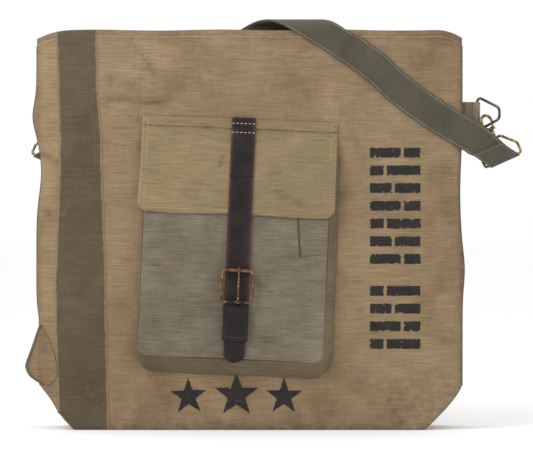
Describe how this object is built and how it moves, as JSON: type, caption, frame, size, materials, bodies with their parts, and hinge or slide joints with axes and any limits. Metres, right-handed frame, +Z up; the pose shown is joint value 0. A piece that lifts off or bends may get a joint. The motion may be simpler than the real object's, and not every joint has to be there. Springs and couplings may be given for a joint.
{
  "type": "mail sack",
  "caption": "Upright canvas mail sack with a boxed base, an open mouth, a buckled front pocket and a shoulder strap on swivel snap hooks.",
  "frame": {"origin": "middle of the underside of the base panel", "axes": "+X across the front to its right, +Y from the front to the back, +Z up to the mouth"},
  "size_m": [0.6336, 0.1203, 0.5219],
  "materials": {
    "canvas": "woven, matt, faded",
    "band_cloth": "woven, matt, darker",
    "binding": "woven tape, matt",
    "pocket_face": "ribbed, matt",
    "pocket_side": "woven, matt",
    "flap_cloth": "woven, matt",
    "leather": "waxed, worn edges",
    "webbing": "doubled canvas, stitched",
    "tab_cloth": "woven, matt",
    "ring_metal": "dark antique finish",
    "hook_brass": "antique, dark recesses",
    "buckle_brass": "antique",
    "copper_roller": "copper brown, worn",
    "snap_steel": "plain"
  },
  "bodies": {
    "sack": {"back_panel": "canvas", "base_panel": "canvas", "flap_top_tape": "flap_cloth", "front_band": "band_cloth", "front_panel": "canvas", "left_corner_fold": "canvas", "left_ring_tab": "tab_cloth", "left_seam_binding": "binding", "left_side_gusset": "canvas", "left_strap_end": "webbing", "pocket_front": "pocket_face", "pocket_gusset": "pocket_side", "right_ring_tab": "tab_cloth", "right_seam_binding": "binding", "right_side_gusset": "canvas", "right_strap_end": "webbing", "rim_hem": "canvas", "shoulder_strap": "webbing", "snap_socket": "snap_steel", "strap_top_end": "leather"},
    "flap": {"pocket_flap": "flap_cloth", "closure_strap": "leather", "buckle_frame": "buckle_brass", "buckle_chape": "leather", "snap_stud": "snap_steel"},
    "tongue": {"buckle_tongue": "buckle_brass"},
    "roller": {"buckle_roller": "copper_roller"},
    "right_ring": {"right_ring": "ring_metal"},
    "right_eye": {"right_hook_eye": "hook_brass"},
    "right_hook": {"right_snap_hook": "hook_brass", "right_swivel_pin": "hook_brass", "right_gate_pin": "hook_brass"},
    "right_gate": {"right_hook_gate": "hook_brass"},
    "left_ring": {"left_ring": "ring_metal"},
    "left_eye": {"left_hook_eye": "hook_brass"},
    "left_hook": {"left_snap_hook": "hook_brass", "left_swivel_pin": "hook_brass", "left_gate_pin": "hook_brass"},
    "left_gate": {"left_hook_gate": "hook_brass"}
  },
  "joints": [
    {"name": "flap_hinge", "type": "hinge", "parent": "sack", "child": "flap", "pos_m": [-0.01209, -0.0464, 0.37851], "axis": [-0.9991, 0, 0.0419], "range_deg": [0, 110]},
    {"name": "tongue_hinge", "type": "hinge", "parent": "flap", "child": "tongue", "pos_m": [-0.01462, -0.07089, 0.16293], "axis": [0.9991, 0, -0.0419], "range_deg": [0, 60]},
    {"name": "roller_spin", "type": "hinge", "parent": "flap", "child": "roller", "pos_m": [-0.01494, -0.06906, 0.20298], "axis": [0.9991, 0, -0.0419], "continuous": true},
    {"name": "right_ring_swing", "type": "hinge", "parent": "sack", "child": "right_ring", "pos_m": [0.291, -0.024, 0.4025], "axis": [0, 0, 1], "range_deg": [-4, 4]},
    {"name": "right_eye_tilt", "type": "hinge", "parent": "sack", "child": "right_eye", "pos_m": [0.32398, -0.0294, 0.3435], "axis": [0.9135, 0, 0.4067], "range_deg": [-1.5, 1.5]},
    {"name": "right_hook_swivel", "type": "hinge", "parent": "right_eye", "child": "right_hook", "pos_m": [0.31177, -0.0294, 0.3709], "axis": [-0.4067, 0, 0.9135], "range_deg": [-9, 9]},
    {"name": "right_gate_hinge", "type": "hinge", "parent": "right_hook", "child": "right_gate", "pos_m": [0.31026, -0.02593, 0.38446], "axis": [0.5872, -0.766, 0.2614], "range_deg": [0, 20], "stiffness_Nm_per_rad": 0.02},
    {"name": "left_ring_swing", "type": "hinge", "parent": "sack", "child": "left_ring", "pos_m": [-0.226, 0.00673, 0.40078], "axis": [0, -0.1173, 0.9931], "range_deg": [-4, 4]},
    {"name": "left_eye_tilt", "type": "hinge", "parent": "sack", "child": "left_eye", "pos_m": [-0.25898, 0.01901, 0.34281], "axis": [-0.9135, -0.0477, 0.4039], "range_deg": [-1.5, 1.5]},
    {"name": "left_hook_swivel", "type": "hinge", "parent": "left_eye", "child": "left_hook", "pos_m": [-0.24677, 0.0158, 0.37003], "axis": [0.4067, -0.1072, 0.9072], "range_deg": [-9, 9]},
    {"name": "left_gate_hinge", "type": "hinge", "parent": "left_hook", "child": "left_gate", "pos_m": [-0.24526, 0.01076, 0.38309], "axis": [-0.5872, 0.7301, 0.3495], "range_deg": [0, 20], "stiffness_Nm_per_rad": 0.02}
  ]
}
